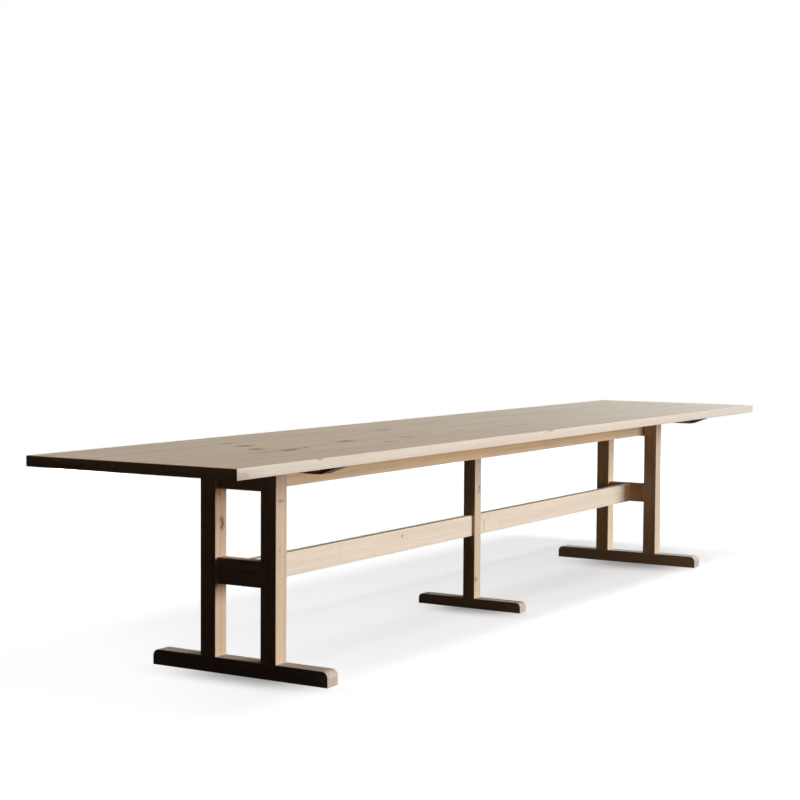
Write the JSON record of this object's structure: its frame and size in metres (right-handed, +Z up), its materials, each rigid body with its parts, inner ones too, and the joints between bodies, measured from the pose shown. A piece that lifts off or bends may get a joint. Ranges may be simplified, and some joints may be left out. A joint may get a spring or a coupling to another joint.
{
  "type": "trestle dining table",
  "caption": "Long, narrow plank-topped dining table on two H-shaped end trestles and a slim centre leg, tied by a low stretcher and twin upper rails.",
  "frame": {"origin": "on the floor under the middle of the top", "axes": "+X along the length of the table, +Y across it from the front to the back, +Z up"},
  "size_m": [4.2, 0.8, 0.73],
  "materials": {
    "top_planks": "pale soaped solid wood with knots and long grain",
    "frame_timber": "pale soaped solid wood, sanded, softened arrises",
    "loose_tongues": "raw wood, hidden in the seams",
    "button_wood": "raw wood, sawn",
    "screw_steel": "zinc-plated steel, satin"
  },
  "bodies": {
    "root": {"front_plank": "top_planks", "middle_plank": "top_planks", "rear_plank": "top_planks", "front_tongue": "loose_tongues", "rear_tongue": "loose_tongues", "left_foot": "frame_timber", "left_front_post": "frame_timber", "left_rear_post": "frame_timber", "left_mid_crossbar": "frame_timber", "left_upper_crossbar": "frame_timber", "left_top_batten": "frame_timber", "right_foot": "frame_timber", "right_front_post": "frame_timber", "right_rear_post": "frame_timber", "right_mid_crossbar": "frame_timber", "right_upper_crossbar": "frame_timber", "right_top_batten": "frame_timber", "centre_foot": "frame_timber", "centre_post": "frame_timber", "centre_cross_rail": "frame_timber", "front_upper_rail": "frame_timber", "rear_upper_rail": "frame_timber", "left_stretcher": "frame_timber", "right_stretcher": "frame_timber", "table_buttons": "button_wood", "batten_screws": "screw_steel", "batten_washers": "screw_steel", "button_screws": "screw_steel"}
  },
  "joints": []
}
